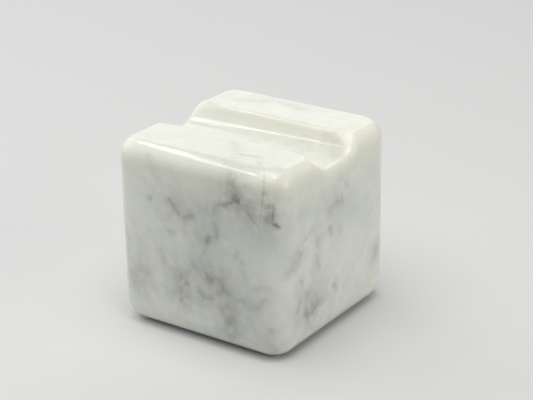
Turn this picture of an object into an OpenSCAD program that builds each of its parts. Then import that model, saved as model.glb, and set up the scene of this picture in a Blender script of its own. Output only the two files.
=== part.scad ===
// Solid marble cube with soft polished edges and a shallow trough with round corners across its top.
// Millimetres. X runs along the trough, Z is up, and the origin is the centre of the base.

/* [Block] */
// Side to side, along the trough
block_w = 60; // [45:0.5:90]
// Front to back, across the trough
block_d = 60; // [45:0.5:90]
// Base to top
block_h = 58.5; // [40:0.5:90]

/* [Edges] */
// Radius of the edges around the top
top_r = 5.6; // [3:0.1:8]
// Radius of the edges around the base
base_r = 7.6; // [3:0.1:9]
// How much rounder the four upright edges are than the rounder of those two
upright_extra = 0.6; // [0.2:0.1:4]

/* [Trough] */
// Depth of the floor below the top
trough_depth = 5.8; // [4:0.1:8]
// Width of the flat floor between its round corners
floor_w = 7.0; // [4:0.2:12]
// How much larger the radius of those corners is than the depth
corner_extra = 0.6; // [0.1:0.1:3]
// Radius of the two long lips
lip_r = 1.5; // [0.8:0.1:3]
// Radius of the flared mouths at both ends
mouth_r = 2.6; // [0.6:0.1:4]

/* [Hidden] */
$fn = 96;
// Run-out of the cutting shapes past the stone
past = 4;
// Radius of the four upright edges
upright_r = max(top_r, base_r) + upright_extra;
// Radius of the two corners between the floor and the walls
corner_r = trough_depth + corner_extra;
// Height of the axes of those corners
axis_h = block_h - trough_depth + corner_r;
// Half the spacing of the two lip centres, where a lip touches both the top and a round corner
lip_y = floor_w / 2 + sqrt(pow(corner_r + lip_r, 2) - pow(axis_h - block_h + lip_r, 2));

// Quarter of a disc in the corner of the positive axes
module quarter_disc(r) {
    intersection() {
        circle(r);
        square(r);
    }
}

// Upright section from a centre line out to the given reach, rounded at the base and at the top
module half_section(reach) {
    translate([0, base_r])
        square([reach, block_h - base_r - top_r]);
    square([reach - base_r, base_r]);
    translate([reach - base_r, base_r])
        mirror([0, 1])
            quarter_disc(base_r);
    translate([0, block_h - top_r])
        square([reach - top_r, top_r]);
    translate([reach - top_r, block_h - top_r])
        quarter_disc(top_r);
}

// Straight run of the block between two rows of upright edges
module slab(reach, run) {
    rotate([90, 0, 0])
        linear_extrude(run, center = true) {
            half_section(reach);
            mirror([1, 0])
                half_section(reach);
        }
}

// Whole block before the trough is cut
module block() {
    slab(block_w / 2, block_d - 2 * upright_r);
    rotate([0, 0, 90])
        slab(block_d / 2, block_w - 2 * upright_r);
    for (x_side = [0, 1], y_side = [0, 1])
        mirror([x_side, 0, 0])
            mirror([0, y_side, 0])
                translate([block_w / 2 - upright_r, block_d / 2 - upright_r, 0])
                    rotate_extrude(angle = 90)
                        half_section(upright_r);
}

// Section of the trough: flat floor, round corners, and a rounded lip on each side
module trough_section() {
    for (side = [-1, 1])
        translate([side * floor_w / 2, axis_h])
            circle(corner_r);
    translate([-floor_w / 2, block_h - trough_depth])
        square([floor_w, trough_depth + past]);
    difference() {
        polygon([
            [-floor_w / 2, axis_h],
            [-lip_y, block_h - lip_r],
            [-lip_y, block_h + past],
            [lip_y, block_h + past],
            [lip_y, block_h - lip_r],
            [floor_w / 2, axis_h],
        ]);
        for (side = [-1, 1])
            translate([side * lip_y, block_h - lip_r])
                circle(lip_r);
    }
}

// Section of a flare, from an axis out to the given reach, opening upward
module flare_section(reach) {
    difference() {
        square([reach + mouth_r, mouth_r + past]);
        translate([reach + mouth_r, 0])
            circle(mouth_r);
    }
}

// Flared mouth of the trough at the +X end: one flare around each corner and one along the floor
module mouth() {
    translate([block_w / 2 - mouth_r, 0, axis_h])
        rotate([0, 90, 0]) {
            for (side = [-1, 1])
                translate([0, side * floor_w / 2, 0])
                    rotate_extrude()
                        flare_section(corner_r);
            rotate([90, 0, 0])
                linear_extrude(floor_w, center = true)
                    flare_section(corner_r);
        }
}

module marble_cube() {
    color("#e9e8e2")
        difference() {
            block();
            rotate([90, 0, 90])
                linear_extrude(block_w + 2 * past, center = true)
                    trough_section();
            for (end = [0, 1])
                mirror([end, 0, 0])
                    mouth();
        }
}

marble_cube();
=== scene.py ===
import math

import bpy
import numpy as np
from mathutils import Matrix, Vector


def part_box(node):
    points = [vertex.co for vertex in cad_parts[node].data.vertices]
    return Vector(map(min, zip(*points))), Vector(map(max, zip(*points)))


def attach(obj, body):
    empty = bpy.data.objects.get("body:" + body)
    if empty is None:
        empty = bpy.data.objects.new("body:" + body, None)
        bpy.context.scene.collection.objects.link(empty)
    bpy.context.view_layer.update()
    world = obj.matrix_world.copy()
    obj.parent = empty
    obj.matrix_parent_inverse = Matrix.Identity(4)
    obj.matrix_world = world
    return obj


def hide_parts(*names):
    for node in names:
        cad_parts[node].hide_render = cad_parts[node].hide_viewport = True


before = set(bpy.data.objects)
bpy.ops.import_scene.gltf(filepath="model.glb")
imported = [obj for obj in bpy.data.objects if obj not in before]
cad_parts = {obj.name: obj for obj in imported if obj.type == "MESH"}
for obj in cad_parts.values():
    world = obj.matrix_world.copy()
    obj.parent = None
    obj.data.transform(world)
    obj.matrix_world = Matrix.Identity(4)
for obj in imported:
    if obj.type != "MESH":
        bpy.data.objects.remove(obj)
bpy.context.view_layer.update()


# The cube: one solid block of white marble, sawn square, with its edges rounded by hand, a shallow
# trough with a flat floor and round corners ground right across the top, and every face polished.
# It stands loose on its flat base.
MM = 0.001
low, high = (np.array(corner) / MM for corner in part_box("marble_cube"))
half_w, half_d, tall = (high - low) / (2, 2, 1)
UPRIGHT_EDGE, TOP_EDGE, BASE_EDGE = 8.2, 5.6, 7.6
TROUGH_DEPTH, FLOOR_WIDTH, FLOOR_CORNER = 5.8, 7.0, 6.4
# radius of the trough's long lips, and of its mouths at both ends, which are rounder
LIP, MOUTH = 1.5, 2.6
# how far from the middle the lips start to grow rounder, and where they are as round as the mouths
LIP_END, MOUTH_START = 18, 27
# how far the hand polish dips below the true faces
POLISH_DIP = 0.05


def plan_depth(x, y):
    """Distance outside the block's outline as seen from above, below zero inside it."""
    over_x = np.abs(x) - half_w + UPRIGHT_EDGE
    over_y = np.abs(y) - half_d + UPRIGHT_EDGE
    corner = np.hypot(np.maximum(over_x, 0), np.maximum(over_y, 0))
    return corner + np.minimum(np.maximum(over_x, over_y), 0) - UPRIGHT_EDGE


def rounded_meeting(first, second, radius):
    """Two faces meeting along an edge that is rounded to a radius."""
    corner = np.hypot(np.maximum(first + radius, 0), np.maximum(second + radius, 0))
    return corner + np.minimum(np.maximum(first, second) + radius, 0) - radius


def polish_wave(point):
    """Slow unevenness that hand polishing leaves, from 0 to 1, none of it on the base."""
    x, y, z = point
    # two crossed swells, of lengths that never fall into step with each other or with the block
    first = np.sin(x / 7.1 + 0.8) * np.sin(y / 8.3 + z / 19)
    second = np.sin(z / 6.4 - x / 23 + 2.1) * np.sin(y / 11.7)
    return (0.5 + (first + second) / 4) * np.clip(z / BASE_EDGE, 0, 1) ** 2


def depth_in_stone(point):
    """Distance outside the polished surface, below zero inside the stone."""
    x, y, z = point
    sides = plan_depth(x, y)
    upper = rounded_meeting(sides, z - tall, TOP_EDGE)
    lower = rounded_meeting(sides, -z, BASE_EDGE)
    axis_height = tall - TROUGH_DEPTH + FLOOR_CORNER
    trough = np.hypot(np.maximum(np.abs(y) - FLOOR_WIDTH / 2, 0), z - axis_height) - FLOOR_CORNER
    near_end = np.clip((np.abs(x) - LIP_END) / (MOUTH_START - LIP_END), 0, 1)
    rim = LIP + (MOUTH - LIP) * near_end ** 2 * (3 - 2 * near_end)
    troughed = rounded_meeting(np.maximum(upper, lower), -trough, rim)
    return troughed + POLISH_DIP * polish_wave(point)


def graded(*runs):
    """Grid lines along one axis, from runs of (start, finish, number of steps)."""
    lines = [np.linspace(start, finish, steps, endpoint=False) for start, finish, steps in runs]
    return np.concatenate(lines + [[runs[-1][1]]])


# the grid's lines crowd together where the lips, the mouths and the rounded edges turn fastest
MOUTH_RUN, FLOOR_RUN, BASE_RUN, TOP_RUN = 22, 6.5, 9, 49
far_runs = [(FLOOR_RUN, 9.2, 11), (9.2, 10.6, 22), (10.6, 13, 14), (13, 21, 8), (21, half_d, 18)]
near_runs = [(-finish, -start, steps) for start, finish, steps in reversed(far_runs)]
LINES = (
    graded((-half_w, -MOUTH_RUN, 20), (-MOUTH_RUN, MOUTH_RUN, 36), (MOUTH_RUN, half_w, 20)),
    graded(*near_runs, (-FLOOR_RUN, FLOOR_RUN, 16), *far_runs),
    graded((0, BASE_RUN, 18), (BASE_RUN, TOP_RUN, 36), (TOP_RUN, tall, 32)),
)
corners, quads, known = [], [], {}


def corner_index(at):
    """Number of the grid corner at these line numbers, made the first time it is asked for."""
    if at not in known:
        known[at] = len(corners)
        corners.append([LINES[axis][at[axis]] for axis in range(3)])
    return known[at]


for axis in range(3):
    across, along = (axis + 1) % 3, (axis + 2) % 3
    for end in (0, len(LINES[axis]) - 1):
        for i in range(len(LINES[across]) - 1):
            for j in range(len(LINES[along]) - 1):
                ring = []
                for step_i, step_j in ((0, 0), (1, 0), (1, 1), (0, 1)):
                    at = [0, 0, 0]
                    at[axis], at[across], at[along] = end, i + step_i, j + step_j
                    ring.append(corner_index(tuple(at)))
                quads.append(ring if end else ring[::-1])

# each grid corner is drawn in until it lies on the polished surface, towards a spot low in the stone
# from which the whole surface, the trough's steep walls too, lies in plain sight
HEART = np.array([0.0, 0.0, 8.0])
# no surface lies nearer the heart than this share of the way out
NEAREST = 0.5
HALVINGS = 40
reach = np.array(corners) - HEART
inside, outside = np.full(len(reach), NEAREST), np.ones(len(reach))
for _ in range(HALVINGS):
    share = (inside + outside) / 2
    buried = depth_in_stone((HEART + reach * share[:, None]).T) < 0
    inside, outside = np.where(buried, share, inside), np.where(buried, outside, share)
surface = HEART + reach * outside[:, None]

# the surface faces the way in which the depth grows fastest, found from a small step to either side
STEP = 0.01
slopes = [
    depth_in_stone((surface + STEP * side).T) - depth_in_stone((surface - STEP * side).T)
    for side in np.eye(3)
]
normals = np.stack(slopes, 1)
normals /= np.linalg.norm(normals, axis=1, keepdims=True)

mesh = bpy.data.meshes.new("marble_cube_polished")
mesh.from_pydata((surface * MM).tolist(), [], quads)
mesh.polygons.foreach_set("use_smooth", [True] * len(quads))
mesh.normals_split_custom_set_from_vertices(normals.tolist())
mesh.update()
cube = bpy.data.objects.new("marble_cube_polished", mesh)
bpy.context.scene.collection.objects.link(cube)


class Shade:
    """A socket of a material's nodes. Sums and products of these add the Math nodes they need."""

    def __init__(self, tree, socket=None):
        self.tree, self.socket = tree, socket

    def node(self, kind, settings=None, sockets=None, output=0):
        """Adds a node, its settings first and then its socket values or links, and gives one output."""
        made = self.tree.nodes.new(kind)
        for name, value in (settings or {}).items():
            setattr(made, name, value)
        for key, value in (sockets or {}).items():
            if isinstance(value, Shade):
                self.tree.links.new(value.socket, made.inputs[key])
            else:
                made.inputs[key].default_value = value
        return Shade(self.tree, made.outputs[output] if made.outputs else None)

    def math(self, operation, *terms):
        return self.node("ShaderNodeMath", {"operation": operation}, dict(enumerate(terms)))

    def vector(self, operation, *terms, output=0):
        return self.node("ShaderNodeVectorMath", {"operation": operation}, dict(enumerate(terms)), output)

    def __add__(self, other):
        return self.math("ADD", self, other)

    __radd__ = __add__

    def __mul__(self, other):
        return self.math("MULTIPLY", self, other)

    __rmul__ = __mul__

    def __sub__(self, other):
        return self.math("SUBTRACT", self, other)

    def __rsub__(self, other):
        return self.math("SUBTRACT", other, self)

    def rise(self, start, finish):
        """0 before start, 1 after finish, with a soft step between."""
        sockets = {"Value": self, "From Min": start, "From Max": finish}
        return self.node("ShaderNodeMapRange", {"interpolation_type": "SMOOTHSTEP"}, sockets)

    def mix(self, first, second):
        """From the first colour to the second as this value goes from 0 to 1."""
        settings = {"data_type": "RGBA"}
        return self.node("ShaderNodeMix", settings, {"Factor": self, 6: first, 7: second}, output=2)


marble = bpy.data.materials.new("polished_marble")
marble.use_nodes = True
marble.node_tree.nodes.clear()
stone = Shade(marble.node_tree)
# the ground of the stone, its clouds, its warm tone with a painted warm glow near the top, painted light
# on its rounded top edges, and its veins
WHITE, COOL, CREAM_AND_GLOW = (0.83, 0.84, 0.785, 1), (0.57, 0.60, 0.565, 1), (0.84, 0.82, 0.71, 1)
PAINTED_LIGHT_TINT, VEIN = (0.90, 0.895, 0.825, 1), (0.19, 0.18, 0.165, 1)


def noise(point, size, detail=3.0, rough=0.55, output=0):
    """Cloudy noise with features of about this many millimetres."""
    sockets = {"Vector": point, "Scale": 1 / size, "Detail": detail, "Roughness": rough}
    return stone.node("ShaderNodeTexNoise", {"noise_dimensions": "3D"}, sockets, output)


def scaled(vector, factor):
    """The vector made longer or shorter."""
    return stone.node("ShaderNodeVectorMath", {"operation": "SCALE"}, {0: vector, "Scale": factor})


def swirled(point, size, amount):
    """The point pushed about by noise, so that what is drawn on it wanders."""
    push = stone.vector("SUBTRACT", noise(point, size, output=1), (0.5, 0.5, 0.5))
    return stone.vector("MULTIPLY_ADD", push, (amount,) * 3, point)


# each vein has a dark core in a halo this many times as wide, which has this share of its colour
HALO, HALO_SHARE = 3.2, 0.5
# powers by which the core and the halo fade outward
CORE_FADE, HALO_FADE = -1.6, -2.0
# how many of its widths a run of a vein goes on past its spots
PAST_SPOT = 0.8


def vein(point, spots, width):
    """Soft line of colour through some spots in the stone, each run tapering a little past its spots."""
    beyond = None
    for start, finish in zip(spots, spots[1:]):
        start, finish = Vector(start), Vector(finish)
        past = (finish - start).normalized() * width * PAST_SPOT
        start, finish = start - past, finish + past
        run = (finish - start).length
        tight = run / (2 * width ** 2)
        from_start = stone.vector("DISTANCE", point, start, output=1)
        from_finish = stone.vector("DISTANCE", point, finish, output=1)
        length = stone.math("MULTIPLY_ADD", from_start + from_finish, tight, 1 - tight * run)
        beyond = length if beyond is None else stone.math("MINIMUM", beyond, length)
    core = stone.math("POWER", beyond, CORE_FADE)
    wider = stone.math("MULTIPLY_ADD", beyond, HALO ** -2, 1 - HALO ** -2)
    halo = stone.math("POWER", wider, HALO_FADE)
    return core * (1 - HALO_SHARE) + halo * HALO_SHARE


# how far under the polish a vein lies, and how far in from a face's plane it is looked for
UNDER_POLISH, DEEPEST = 0.2, 30.0
SPOT_HALVINGS = 30


def spot_in(face, across, up):
    """Spot just under the polished surface, straight in from a place on one face's plane."""
    near, far = 0.0, DEEPEST
    for _ in range(SPOT_HALVINGS):
        into = (near + far) / 2
        spot = {
            "front": (across, low[1] + into, up),
            "side": (high[0] - into, across, up),
            "top": (across, up, high[2] - into),
            "back": (across, high[1] - into, up),
            "left": (low[0] + into, across, up),
        }[face]
        near, far = (into, far) if depth_in_stone(spot) > -UNDER_POLISH else (near, into)
    return spot


place = stone.node("ShaderNodeTexCoord", output="Object")
place = scaled(place, 1 / MM)

# the stone's clouds lie in sheets square to this direction: noise is squeezed along it by this share
SHEETS, SQUEEZE = Vector((1, -1, 1)).normalized(), 0.5
# noise between these values turns from clear stone to cloud
CLOUD_EDGE, GRAIN_EDGE = (0.36, 0.70), (0.3, 0.7)
across_sheets = stone.vector("DOT_PRODUCT", place, SHEETS, output=1)
sheeted = stone.vector("ADD", place, scaled(SHEETS, across_sheets * SQUEEZE))
sheeted = swirled(sheeted, size=18, amount=10)
clouds = noise(sheeted, size=20).rise(*CLOUD_EDGE)
mottle = noise(sheeted, size=6, rough=0.5).rise(*CLOUD_EDGE)
grain = noise(place, size=0.8, detail=2).rise(*GRAIN_EDGE)

# Veins lie where the polished faces show them, each (width, strength, places). A place is (x, z) on
# the front and the back, (y, z) on the right side and the left, and (x, y) on the top.
VEINS = {
    "front": [
        (2.0, 0.48, [(13.6, 54.6), (14.4, 51.4)]),
        (1.8, 0.82, [(14.4, 50), (16, 48.2)]),
        (0.6, 0.70, [(15.5, 48.8), (18.6, 46.3), (22.7, 42.6)]),
        (2.6, 0.52, [(17.6, 49), (21, 46)]),
        (0.4, 0.60, [(24.5, 53.7), (23.9, 48.3), (22.8, 43)]),
        (0.35, 0.50, [(23.4, 57.2), (24.6, 53.7), (25.9, 51.2), (26.8, 49.7)]),
        (0.75, 0.78, [(26.8, 49.5), (26.4, 44), (27.7, 42.7)]),
        (2.3, 0.58, [(25.6, 48), (25.6, 44.6)]),
        (0.8, 0.75, [(8, 46), (10.8, 46.4), (13, 47.5), (15, 48.8)]),
        (1.5, 0.36, [(8, 45), (7.7, 41), (8.5, 38)]),
        (2.2, 0.28, [(5.6, 36), (4.2, 31)]),
        (2.4, 0.22, [(3, 29.5), (0.5, 25.5)]),
        (4.0, 0.24, [(5.4, 42), (3.4, 35)]),
        (1.3, 0.56, [(5.4, 35.2), (5, 34)]),
        (1.1, 0.52, [(8.6, 38), (8.2, 36.6)]),
        (1.5, 0.42, [(0, 25), (4.8, 20.5), (9.7, 18)]),
        (3.2, 0.54, [(6, 22.4), (9.5, 20)]),
        (3.2, 0.50, [(9.9, 17), (12, 12.5), (12.4, 8)]),
        (1.5, 0.25, [(7.5, 17.5), (7, 9)]),
        (1.2, 0.25, [(-4, 22), (2, 24)]),
        (2.2, 0.60, [(-4.6, 20), (-3.6, 17.5), (-5, 13.8)]),
        (2.3, 0.44, [(2.2, 16.2), (4.6, 16)]),
        (1.4, 0.34, [(12.8, 18), (17, 18.2), (21, 17), (23.8, 19.8)]),
        (2.8, 0.38, [(-21.6, 17), (-19.8, 17.6)]),
        (0.9, 0.20, [(-20, 17), (-12, 15.5)]),
        (1.6, 0.26, [(-12, 26), (-11, 23)]),
        (1.2, 0.26, [(-9, 33.6), (-7.6, 33.6)]),
        (1.9, 0.50, [(-7.4, 43), (-5.8, 41)]),
        (1.8, 0.52, [(-3, 39.4), (-1.2, 40)]),
        (1.2, 0.17, [(-15.6, 55), (-11, 46.5), (-7.6, 44)]),
        (1.6, 0.26, [(17, 29.5), (18.4, 25)]),
        (1.0, 0.22, [(15, 33), (14.5, 31.5)]),
        (1.8, 0.24, [(22, 23.5), (24.6, 23.7)]),
        (2.2, 0.30, [(25.8, 9.3), (26.2, 4.8)]),
        (0.3, 0.80, [(-15.3, 42.8), (-15.1, 42.7)]),
    ],
    "side": [
        (2.4, 0.30, [(-4, 40.6), (0.8, 41.4)]),
        (1.6, 0.42, [(-0.5, 41.5), (1.4, 40.8)]),
        (0.7, 0.50, [(-4.4, 34.6), (-4, 33)]),
        (2.0, 0.30, [(-24, 28.5), (-20, 32.2)]),
        (1.2, 0.50, [(-21.4, 30.8), (-20.2, 32)]),
        (0.8, 0.25, [(-12, 38), (-19, 35)]),
        (1.3, 0.28, [(-11.6, 28), (-10.6, 25)]),
        (0.7, 0.35, [(-19.4, 23.5), (-19, 22.4)]),
        (2.6, 0.60, [(-15.6, 12.6), (-13.6, 13)]),
        (2.5, 0.42, [(-20, 15.6), (-17, 17.2)]),
        (1.3, 0.40, [(-17, 16.6), (-15, 13.6), (-16.5, 10)]),
        (1.2, 0.22, [(-15.6, 20), (-14.6, 18)]),
        (1.0, 0.42, [(-2.6, 15.6), (-1, 14.4)]),
        (1.2, 0.40, [(20, 15.6), (21.4, 18)]),
        (1.0, 0.22, [(4, 46), (5, 44.5)]),
        (0.8, 0.22, [(1, 47.5), (2.6, 47.5)]),
        (1.4, 0.30, [(-11.4, 34), (-10.8, 31.8)]),
        (1.2, 0.22, [(0.4, 33), (1, 31.4)]),
        (1.0, 0.20, [(-8, 23), (-6, 23)]),
    ],
    "top": [
        (0.45, 0.40, [(7.8, -21.1), (17.8, -19.4)]),
        (0.35, 0.45, [(17.1, -22.1), (23.2, -26.9)]),
        (1.1, 0.20, [(3, -13.5), (9, -20), (12.4, -27.3)]),
        (1.2, 0.16, [(-18, 16), (-6, 22), (4, 20)]),
    ],
    "back": [
        (1.4, 0.38, [(-18, 50), (-12, 43), (-10, 36)]),
        (2.4, 0.32, [(-9, 30), (-4, 24)]),
        (1.3, 0.28, [(-4, 24), (2, 15), (3, 9)]),
        (1.7, 0.30, [(14, 46), (17, 40)]),
        (2.0, 0.30, [(20, 20), (23, 16)]),
        (0.9, 0.24, [(6, 52), (10, 44), (16, 38)]),
    ],
    "left": [
        (1.6, 0.34, [(-16, 46), (-10, 38)]),
        (1.3, 0.28, [(-10, 38), (-8, 30), (-2, 24)]),
        (2.4, 0.32, [(4, 18), (8, 14)]),
        (1.5, 0.26, [(14, 40), (18, 34)]),
        (1.2, 0.24, [(-20, 20), (-15, 12)]),
    ],
}
# most veins wander with the stone, but those finer than this width are nearly straight
FINE = 0.8
wander = swirled(swirled(place, size=7, amount=1.8), size=2.6, amount=0.5)
calm = swirled(place, size=4, amount=0.6)
veins = None
for face, strokes in VEINS.items():
    for width, strength, places in strokes:
        path = calm if width < FINE else wander
        line = vein(path, [spot_in(face, *place_on) for place_on in places], width) * strength
        veins = line if veins is None else stone.math("MAXIMUM", veins, line)

# along its way a vein fades to the least share of its strength and gathers again
FEATHER_LEAST, FEATHER_GAIN = 0.55, 0.58
FEATHER_EDGE = (0.30, 0.66)
feather = noise(wander, size=3, detail=2, rough=0.5).rise(*FEATHER_EDGE)
veins = veins * (FEATHER_LEAST + FEATHER_GAIN * feather)

# faint threads through the whole stone, in patches, where slow noise passes its middle value
MIDDLE, THREAD_REACH, THREAD_STRENGTH = 0.5, 0.09, 0.14
PATCH_EDGE = (0.50, 0.68)
thread = noise(swirled(sheeted, size=10, amount=5), size=15)
thread = stone.math("ABSOLUTE", thread - MIDDLE).rise(THREAD_REACH, 0.0)
thread = thread * noise(place, size=22, detail=1).rise(*PATCH_EDGE)
veins = stone.math("MAXIMUM", veins, thread * feather * THREAD_STRENGTH)

# broad cooler clouds that the veins run through, each (reach, strength, face, places)
CLOUDED = [
    (9, 0.62, "front", [(3, 44), (14, 40), (24, 38)]),
    (9, 0.62, "front", [(5, 30), (11, 21), (20, 14)]),
    (6, 0.62, "front", [(6, 52), (8, 44), (5, 34), (1, 26)]),
    (7, 0.46, "side", [(-14, 43), (0, 39), (12, 34)]),
    (6, 0.30, "side", [(-12, 28), (-16, 14)]),
]
CLOUD_STRENGTH, MOTTLE_STRENGTH = 0.26, 0.28
shadowed = clouds * CLOUD_STRENGTH
for width, strength, face, places in CLOUDED:
    patch = vein(wander, [spot_in(face, *place_on) for place_on in places], width) * strength
    shadowed = stone.math("MAXIMUM", shadowed, patch)
colour = shadowed.mix(WHITE, COOL)
colour = (mottle * MOTTLE_STRENGTH).mix(colour, COOL)

# painted light: towards the top, a warm glow that stands in for light shining through the stone is
# painted over one band of heights, and a paler colour for the overhead light on the rounded top edges
# over the next;
# on the top face itself, above the second pair of bands, both are weaker again
PAINTED_GLOW_BAND, PAINTED_LIGHT_BAND = (42, 53), (52.5, 56.5)
PAINTED_GLOW_TOP, PAINTED_LIGHT_TOP = (56.6, 58.4), (57, 58.4)
PAINTED_GLOW_SHARE, PAINTED_GLOW_LOSS = 0.40, 0.15
PAINTED_LIGHT_SHARE, PAINTED_LIGHT_LOSS = 0.6, 0.45
# warm patches lie all through the stone
WARM_EDGE, WARM_PATCHES = (0.5, 0.75), 0.08
height = stone.node("ShaderNodeSeparateXYZ", None, {"Vector": place}, output="Z")
warm_tone_and_glow = noise(place, size=23, detail=2).rise(*WARM_EDGE) * WARM_PATCHES
# painted glow: a warm tint for light shining through the stone, strongest over the band below the rounded
# top edges
warm_tone_and_glow = warm_tone_and_glow + height.rise(*PAINTED_GLOW_BAND) * PAINTED_GLOW_SHARE - height.rise(*PAINTED_GLOW_TOP) * PAINTED_GLOW_LOSS
colour = warm_tone_and_glow.mix(colour, CREAM_AND_GLOW)
# painted light: paler colour on the rounded top edges, where the overhead light falls
painted_light = height.rise(*PAINTED_LIGHT_BAND) * PAINTED_LIGHT_SHARE - height.rise(*PAINTED_LIGHT_TOP) * PAINTED_LIGHT_LOSS
colour = painted_light.mix(colour, PAINTED_LIGHT_TINT)
colour = veins.mix(colour, VEIN)

# the mottle and the grain take the polish a little less well than the rest
POLISH, MOTTLE_DULLING, GRAIN_DULLING = 0.055, 0.04, 0.03
GRAIN_RELIEF, MOTTLE_RELIEF = 0.4, 0.6
roughness = POLISH + MOTTLE_DULLING * mottle + GRAIN_DULLING * grain
relief = grain * GRAIN_RELIEF + mottle * MOTTLE_RELIEF
bump = stone.node("ShaderNodeBump", None, {"Strength": 0.04, "Distance": 0.2 * MM, "Height": relief})
polished = {
    "Base Color": colour, "Roughness": roughness, "Normal": bump, "IOR": 1.5,
    "Subsurface Weight": 0.8, "Subsurface Radius": (1.0, 0.86, 0.62), "Subsurface Scale": 3 * MM,
}
shader = stone.node("ShaderNodeBsdfPrincipled", None, polished)
stone.node("ShaderNodeOutputMaterial", None, {"Surface": shader})
mesh.materials.append(marble)
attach(cube, "root")
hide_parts("marble_cube")


# The floor: a plain pale sheet of matt board that lies flat under the cube, cut square and wide
# enough to fill the view. The cube only stands on it.
FLOOR_SIDE = 4.0
BOARD_GREY, BOARD_ROUGHNESS = (0.69, 0.695, 0.695, 1), 0.85
half_side = FLOOR_SIDE / 2
board = bpy.data.meshes.new("pale_floor")
board_corners = [(x * half_side, y * half_side, 0) for x, y in ((-1, -1), (1, -1), (1, 1), (-1, 1))]
board.from_pydata(board_corners, [], [(0, 1, 2, 3)])
floor = bpy.data.objects.new("pale_floor", board)
bpy.context.scene.collection.objects.link(floor)
matt = bpy.data.materials.new("pale_board")
matt.use_nodes = True
matt.node_tree.nodes.clear()
sheet = Shade(matt.node_tree)
plain = {"Base Color": BOARD_GREY, "Roughness": BOARD_ROUGHNESS}
board_shader = sheet.node("ShaderNodeBsdfPrincipled", None, plain)
sheet.node("ShaderNodeOutputMaterial", None, {"Surface": board_shader})
board.materials.append(matt)


# The light: a wide soft box overhead with a small brighter one under it, two narrow strips that draw
# lines of light along the polished edge and the trough's rim, weak soft boxes behind, at both sides
# and low at the left, all turned to face the cube, and an even pale surround.
CENTRE = Vector((0, 0, 0.03))
WHITE_LIGHT, COLD_LIGHT = (1, 1, 1), (0.85, 1, 1)
WARM_LIGHT, WARMER_LIGHT = (1, 0.99, 0.965), (1, 0.99, 0.92)
# each lamp is (name, spot, level length, breadth, power in watts, tint)
LAMPS = [
    ("overhead_panel", (0.03, -0.26, 1.10), 1.2, 1.2, 9.3, WARM_LIGHT),
    ("overhead_lamp", (0.30, -0.16, 0.93), 0.14, 0.5, 0.95, WHITE_LIGHT),
    ("back_panel", (-0.64, 0.92, 0.50), 1.5, 0.7, 2.7, WHITE_LIGHT),
    ("edge_strip", (-0.57, -0.10, 0.86), 0.7, 0.05, 0.60, WHITE_LIGHT),
    ("rim_strip", (-0.17, 0.85, 0.75), 0.5, 0.12, 0.34, WHITE_LIGHT),
    ("right_soft_box", (0.92, 0.06, 0.27), 0.5, 0.5, 1.9, WARMER_LIGHT),
    ("left_soft_box", (-0.95, 0.0, 0.46), 0.9, 0.9, 2.5, WHITE_LIGHT),
    ("near_left_soft_box", (-0.36, -0.30, 0.06), 0.2, 0.2, 0.05, COLD_LIGHT),
]
for name, spot, length, breadth, power, tint in LAMPS:
    lamp = bpy.data.lights.new(name, "AREA")
    lamp.shape, lamp.size, lamp.size_y = "RECTANGLE", length, breadth
    lamp.energy, lamp.color = power, tint
    box = bpy.data.objects.new(name, lamp)
    box.location = spot
    box.rotation_euler = (CENTRE - Vector(spot)).to_track_quat("-Z", "Y").to_euler()
    bpy.context.scene.collection.objects.link(box)
SURROUND_TINT, SURROUND_STRENGTH = (0.95, 1.0, 0.99, 1), 0.20
surround = bpy.data.worlds.new("pale_surround")
surround.use_nodes = True
background = surround.node_tree.nodes["Background"]
background.inputs["Color"].default_value = SURROUND_TINT
background.inputs["Strength"].default_value = SURROUND_STRENGTH
bpy.context.scene.world = surround


# The camera: a long lens that looks down on the front corner from where the photograph was taken,
# aimed a little off the middle of the cube, with the picture tilted by a degree.
PICTURE_W, FOCAL_PX, SENSOR = 533, 1635.65, 36.0
AZIMUTH, ELEVATION, ROLL = (math.radians(a) for a in (35.09, 22.65, -1.0))
DISTANCE, AIM_RIGHT, AIM_UP = 0.49196, 0.00375, 0.00527
back = Vector((
    math.sin(AZIMUTH) * math.cos(ELEVATION),
    -math.cos(AZIMUTH) * math.cos(ELEVATION),
    math.sin(ELEVATION),
))
level = Vector((math.cos(AZIMUTH), math.sin(AZIMUTH), 0))
upright = back.cross(level)
right = math.cos(ROLL) * level + math.sin(ROLL) * upright
up = back.cross(right)
eye = Vector((0, 0, tall * MM / 2)) + AIM_RIGHT * right + AIM_UP * up + DISTANCE * back
lens = bpy.data.cameras.new("long_lens")
lens.sensor_width = SENSOR
lens.lens = FOCAL_PX * SENSOR / PICTURE_W
lens.clip_start = 0.01
camera = bpy.data.objects.new("long_lens", lens)
camera.matrix_world = Matrix.Translation(eye) @ Matrix((right, up, back)).transposed().to_4x4()
bpy.context.scene.collection.objects.link(camera)
bpy.context.scene.camera = camera
bpy.context.scene.view_settings.view_transform = "Standard"
